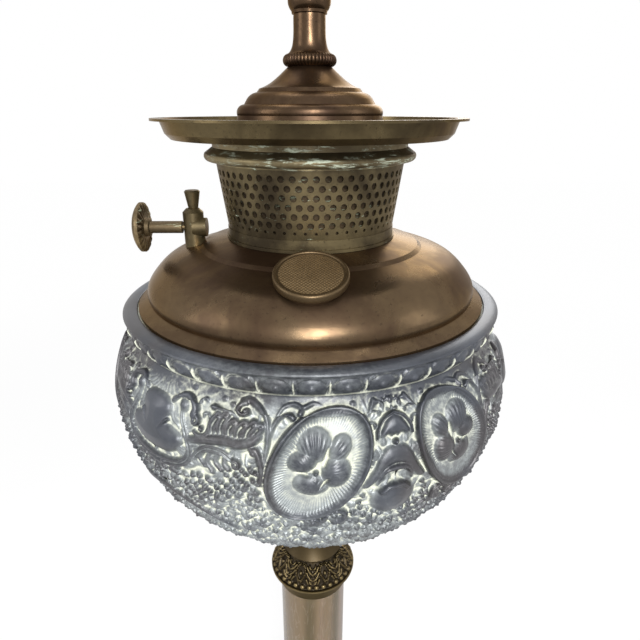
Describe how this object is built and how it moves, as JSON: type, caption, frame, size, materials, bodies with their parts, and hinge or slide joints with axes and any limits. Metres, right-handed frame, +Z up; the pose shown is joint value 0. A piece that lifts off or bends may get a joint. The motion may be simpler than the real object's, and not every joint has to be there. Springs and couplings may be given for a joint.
{
  "type": "banquet lamp",
  "caption": "Table lamp with a cast relief bowl on a banded stone column, a drop-in brass oil font with a perforated burner basket, and a lampholder fitted above a pan.",
  "frame": {"origin": "centre of the footprint, on the surface the feet stand on, on the lamp's axis", "axes": "+Z up along the column; -Y towards the filler cap; -X towards the wick winder"},
  "size_m": [0.2066, 0.2066, 0.6411],
  "materials": {
    "white_metal": "grey cast white metal with pale grime in its hollows",
    "onyx": "polished banded onyx",
    "cup_brass": "dark aged brass",
    "font_brass": "brown spun brass, semi-gloss",
    "burner_brass": "dark olive brass with pale green bloom",
    "pan_brass": "olive brass, worn bright at the rim",
    "dome_copper": "brown copper-washed brass",
    "fitting_brass": "plain lacquered brass",
    "steel": "plain steel",
    "cotton": "woven cotton wick",
    "leather": "dark leather washer",
    "fibre": "pressed fibre liner",
    "porcelain": "glazed porcelain",
    "black_moulding": "black moulded key"
  },
  "bodies": {
    "stand": {"base_feet": "white_metal", "foot_screws": "steel", "base_ring": "white_metal", "base_casting": "white_metal", "cord_bushing": "fitting_brass", "base_socle": "cup_brass", "onyx_column": "onyx", "column_cup": "cup_brass", "bowl_neck": "cup_brass", "bowl_foot": "white_metal", "holder_bowl": "white_metal", "bowl_collar": "white_metal", "holder_plate": "steel", "centre_rod": "steel", "rod_washer": "steel", "base_nut": "steel", "holder_nut": "steel"},
    "font": {"font_floor": "font_brass", "font_bottom": "font_brass", "font_top": "font_brass", "font_collar": "burner_brass", "draft_tube": "font_brass", "wick_tube": "font_brass", "filler_neck": "font_brass", "winder_post": "burner_brass", "winder_bushing": "burner_brass"},
    "gasket": {"filler_gasket": "leather"},
    "cap": {"filler_cap": "font_brass"},
    "winder": {"winder_shaft": "burner_brass", "winder_pinion": "burner_brass", "winder_knob": "burner_brass"},
    "rack": {"rack_bar": "burner_brass", "rack_head": "burner_brass", "wick_arm": "font_brass", "wick_carrier": "font_brass", "wick": "cotton"},
    "burner": {"burner_basket": "burner_brass", "basket_liner": "burner_brass", "basket_ring": "burner_brass"},
    "converter": {"pan_tray": "pan_brass", "pan_nut": "fitting_brass", "dome_cap": "dome_copper", "milled_ring": "dome_copper", "stem": "dome_copper", "converter_pipe": "fitting_brass", "holder_cap": "fitting_brass", "socket_shell": "fitting_brass", "socket_sleeve": "fibre", "socket_core": "porcelain", "thread_shell": "fitting_brass", "centre_contact": "fitting_brass"},
    "key": {"key_shaft": "fitting_brass", "key_thumb": "black_moulding"}
  },
  "joints": [
    {"name": "font_lift", "type": "slide", "parent": "stand", "child": "font", "axis": [0, 0, 1], "range_m": [0, 0.06]},
    {"name": "cap_rise", "type": "slide", "parent": "font", "child": "gasket", "axis": [0, -0.342, 0.9397], "range_m": [0, 0.0017]},
    {"name": "cap_turn", "type": "hinge", "parent": "gasket", "child": "cap", "pos_m": [0, -0.06332, 0.47184], "axis": [0, -0.342, 0.9397], "range_deg": [0, 480]},
    {"name": "winder_turn", "type": "hinge", "parent": "font", "child": "winder", "pos_m": [-0.0587, -0.0017, 0.47884], "axis": [1, 0, 0], "range_deg": [0, 400]},
    {"name": "rack_rise", "type": "slide", "parent": "font", "child": "rack", "axis": [0, 0, 1], "range_m": [0, 0.014]},
    {"name": "burner_lift", "type": "slide", "parent": "font", "child": "burner", "axis": [0, 0, 1], "range_m": [0, 0.04]},
    {"name": "converter_lift", "type": "slide", "parent": "burner", "child": "converter", "axis": [0, 0, 1], "range_m": [0, 0.03]},
    {"name": "key_turn", "type": "hinge", "parent": "converter", "child": "key", "pos_m": [0.02, 0, 0.6051], "axis": [1, 0, 0], "continuous": true}
  ],
  "couplings": [
    {"joint": "cap_rise", "follows": "cap_turn", "m_per_rad": 0.00019099},
    {"joint": "rack_rise", "follows": "winder_turn", "m_per_rad": 0.002}
  ]
}
